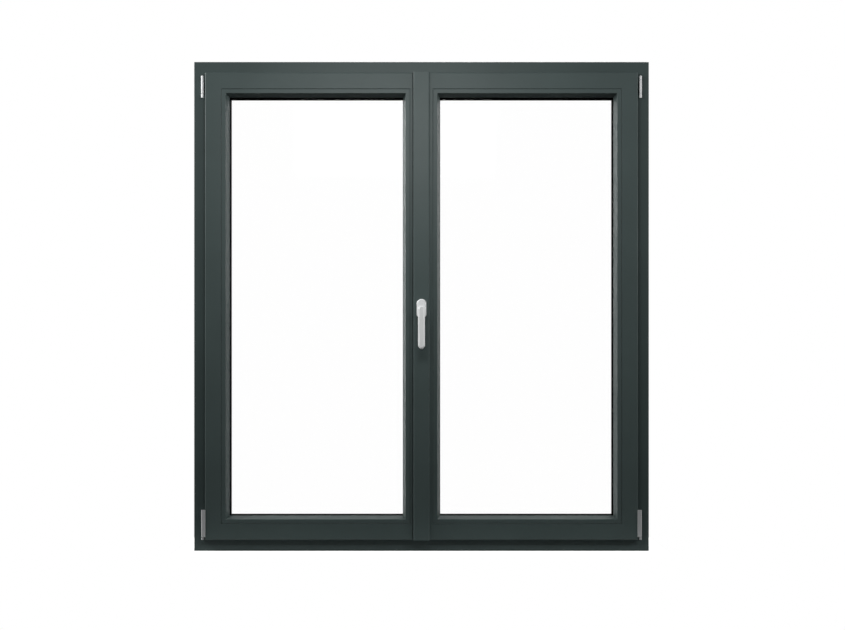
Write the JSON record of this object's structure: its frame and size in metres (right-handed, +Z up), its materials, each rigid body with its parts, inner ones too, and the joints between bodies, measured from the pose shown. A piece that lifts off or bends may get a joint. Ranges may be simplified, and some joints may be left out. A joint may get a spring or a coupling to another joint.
{
  "type": "two-sash casement window",
  "caption": "Closed double window of dark plastic profiles with glazed sashes, slim meeting strip and central turning handle.",
  "frame": {"origin": "middle of the frame's lower face, half way through its depth, where the frame rests on the wall", "axes": "+X to the right seen from the room, +Y from the room to the outside, +Z up"},
  "size_m": [1.395, 0.165, 1.5],
  "materials": {
    "profile": "satin foil, dark green grey",
    "gasket": "matte",
    "glass": "clear",
    "spacer": "matte",
    "handle": "satin silver",
    "spindle": "bright",
    "hinge_cover": "satin silver"
  },
  "bodies": {
    "window": {"frame_head": "profile", "frame_left_jamb": "profile", "frame_right_jamb": "profile", "frame_sill": "profile", "frame_stop_gasket": "gasket", "handle_rose": "handle", "left_bead_bottom": "profile", "left_bead_hinge": "profile", "left_bead_meeting": "profile", "left_bead_top": "profile", "left_bottom_hinge": "hinge_cover", "left_bottom_pivot": "hinge_cover", "left_glass_spacer": "spacer", "left_inner_glazing_gasket": "gasket", "left_inner_pane": "glass", "left_outer_glazing_gasket": "gasket", "left_outer_pane": "glass", "left_overlap_gasket": "gasket", "left_sash_bottom_rail": "profile", "left_sash_hinge_stile": "profile", "left_sash_meeting_stile": "profile", "left_sash_top_rail": "profile", "left_top_hinge": "hinge_cover", "meeting_cover_strip": "profile", "meeting_gaskets": "gasket", "outer_astragal": "profile", "right_bead_bottom": "profile", "right_bead_hinge": "profile", "right_bead_meeting": "profile", "right_bead_top": "profile", "right_bottom_hinge": "hinge_cover", "right_bottom_pivot": "hinge_cover", "right_glass_spacer": "spacer", "right_inner_glazing_gasket": "gasket", "right_inner_pane": "glass", "right_outer_glazing_gasket": "gasket", "right_outer_pane": "glass", "right_overlap_gasket": "gasket", "right_sash_bottom_rail": "profile", "right_sash_hinge_stile": "profile", "right_sash_meeting_stile": "profile", "right_sash_top_rail": "profile", "right_top_hinge": "hinge_cover"},
    "handle": {"handle_lever": "handle", "handle_spindle": "spindle"}
  },
  "joints": [
    {"name": "handle_turn", "type": "hinge", "parent": "window", "child": "handle", "pos_m": [0, -0.078, 0.739], "axis": [0, -1, 0], "range_deg": [0, 180]}
  ]
}
